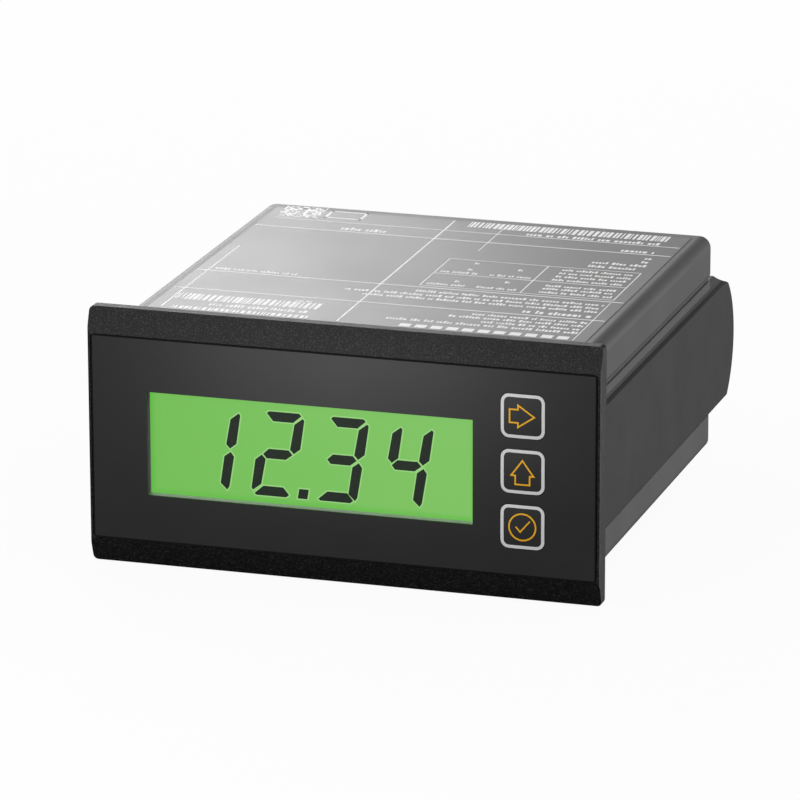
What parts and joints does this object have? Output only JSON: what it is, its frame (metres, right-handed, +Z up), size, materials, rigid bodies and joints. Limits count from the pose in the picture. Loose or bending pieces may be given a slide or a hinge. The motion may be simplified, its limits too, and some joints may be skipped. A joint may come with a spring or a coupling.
{
  "type": "digital panel meter",
  "caption": "Panel-mounted LCD process indicator: wide black bezel, green backlit display, three keys, deep grey plug-in housing with sliding side clamps and a rear terminal plug.",
  "frame": {"origin": "centre of the bezel's rear plane, where the meter seats on the panel", "axes": "+X to the viewer's right, +Y from the panel into the cabinet along the housing, +Z up"},
  "size_m": [0.096, 0.1106, 0.048],
  "materials": {
    "black_plastic": "fine spark-eroded texture, black",
    "foil": "satin charcoal polyester foil",
    "clear_window": "clear polished sheet",
    "adhesive_ring": "double-sided foil tape, pale lilac grey",
    "gasket_foam": "closed-cell foam, black",
    "key_plastic": "satin charcoal with a light printed border",
    "switch_plastic": "moulded, black",
    "plunger_plastic": "moulded, grey",
    "lcd": "yellow-green backlit cell",
    "segment": "dark green liquid-crystal segments",
    "white_plastic": "moulded, off-white",
    "zebra": "silicone strip, pink",
    "guide": "frosted light guide",
    "led": "chip packages",
    "board": "solder resist, green",
    "screw_steel": "zinc-plated",
    "chip": "moulded epoxy, black",
    "capacitor": "sleeved can, dark blue",
    "winding": "lacquered bobbin winding",
    "ceramic_chip": "thick-film chips",
    "housing_plastic": "fine textured charcoal grey",
    "label": "semi-gloss grey label film with white printed fields",
    "clamp_plastic": "smooth charcoal grey",
    "terminal_plastic": "moulded, green",
    "cage_brass": "tin-plated brass",
    "dip_plastic": "moulded, red"
  },
  "bodies": {
    "meter": {"front_bezel": "black_plastic", "front_overlay": "foil", "display_window": "clear_window", "window_tape": "adhesive_ring", "panel_gasket": "gasket_foam", "lcd_glass": "lcd", "lcd_segments": "segment", "lcd_frame": "white_plastic", "zebra_strips": "zebra", "light_guide": "guide", "backlight_leds": "led", "display_board": "board", "tact_switches": "switch_plastic", "board_screws": "screw_steel", "board_link": "switch_plastic", "main_board": "board", "microcontroller": "chip", "capacitors": "capacitor", "choke": "winding", "resistors": "ceramic_chip", "housing": "housing_plastic", "housing_label": "label", "rear_cover": "housing_plastic", "rear_screws": "screw_steel", "terminal_socket": "terminal_plastic", "dip_switch": "dip_plastic"},
    "right_key": {"key_right": "key_plastic", "plunger_right": "plunger_plastic"},
    "up_key": {"key_up": "key_plastic", "plunger_up": "plunger_plastic"},
    "enter_key": {"key_enter": "key_plastic", "plunger_enter": "plunger_plastic"},
    "plug": {"terminal_plug": "terminal_plastic"},
    "cage_1": {"wire_cage_1": "cage_brass"},
    "cage_2": {"wire_cage_2": "cage_brass"},
    "screw_1": {"terminal_screw_1": "screw_steel"},
    "screw_2": {"terminal_screw_2": "screw_steel"},
    "slider_1": {"dip_slider_1": "white_plastic"},
    "slider_2": {"dip_slider_2": "white_plastic"},
    "clamp_left": {"left_clamp": "clamp_plastic"},
    "clamp_right": {"right_clamp": "clamp_plastic"}
  },
  "joints": [
    {"name": "right_key_press", "type": "slide", "parent": "meter", "child": "right_key", "axis": [0, 1, 0], "range_m": [0, 0.0004], "stiffness_N_per_m": 2500, "springref_m": -0.0002},
    {"name": "up_key_press", "type": "slide", "parent": "meter", "child": "up_key", "axis": [0, 1, 0], "range_m": [0, 0.0004], "stiffness_N_per_m": 2500, "springref_m": -0.0002},
    {"name": "enter_key_press", "type": "slide", "parent": "meter", "child": "enter_key", "axis": [0, 1, 0], "range_m": [0, 0.0004], "stiffness_N_per_m": 2500, "springref_m": -0.0002},
    {"name": "plug_pull", "type": "slide", "parent": "meter", "child": "plug", "axis": [0, 1, 0], "range_m": [0, 0.012]},
    {"name": "cage_1_lift", "type": "slide", "parent": "plug", "child": "cage_1", "axis": [0, 0, 1], "range_m": [0, 0.0018]},
    {"name": "screw_1_turn", "type": "hinge", "parent": "plug", "child": "screw_1", "pos_m": [0.01746, 0.0944, 0], "axis": [0, 0, -1], "range_deg": [0, 1440]},
    {"name": "cage_2_lift", "type": "slide", "parent": "plug", "child": "cage_2", "axis": [0, 0, 1], "range_m": [0, 0.0018]},
    {"name": "screw_2_turn", "type": "hinge", "parent": "plug", "child": "screw_2", "pos_m": [0.02254, 0.0944, 0], "axis": [0, 0, -1], "range_deg": [0, 1440]},
    {"name": "dip_1_slide", "type": "slide", "parent": "meter", "child": "slider_1", "axis": [0, 0, 1], "range_m": [0, 0.0016]},
    {"name": "dip_2_slide", "type": "slide", "parent": "meter", "child": "slider_2", "axis": [0, 0, 1], "range_m": [0, 0.0016]},
    {"name": "left_clamp_slide", "type": "slide", "parent": "meter", "child": "clamp_left", "axis": [0, 1, 0], "range_m": [-0.002, 0.07]},
    {"name": "right_clamp_slide", "type": "slide", "parent": "meter", "child": "clamp_right", "axis": [0, 1, 0], "range_m": [-0.002, 0.07]}
  ],
  "couplings": [
    {"joint": "screw_1_turn", "follows": "cage_1_lift", "rad_per_m": 13963},
    {"joint": "screw_2_turn", "follows": "cage_2_lift", "rad_per_m": 13963}
  ]
}
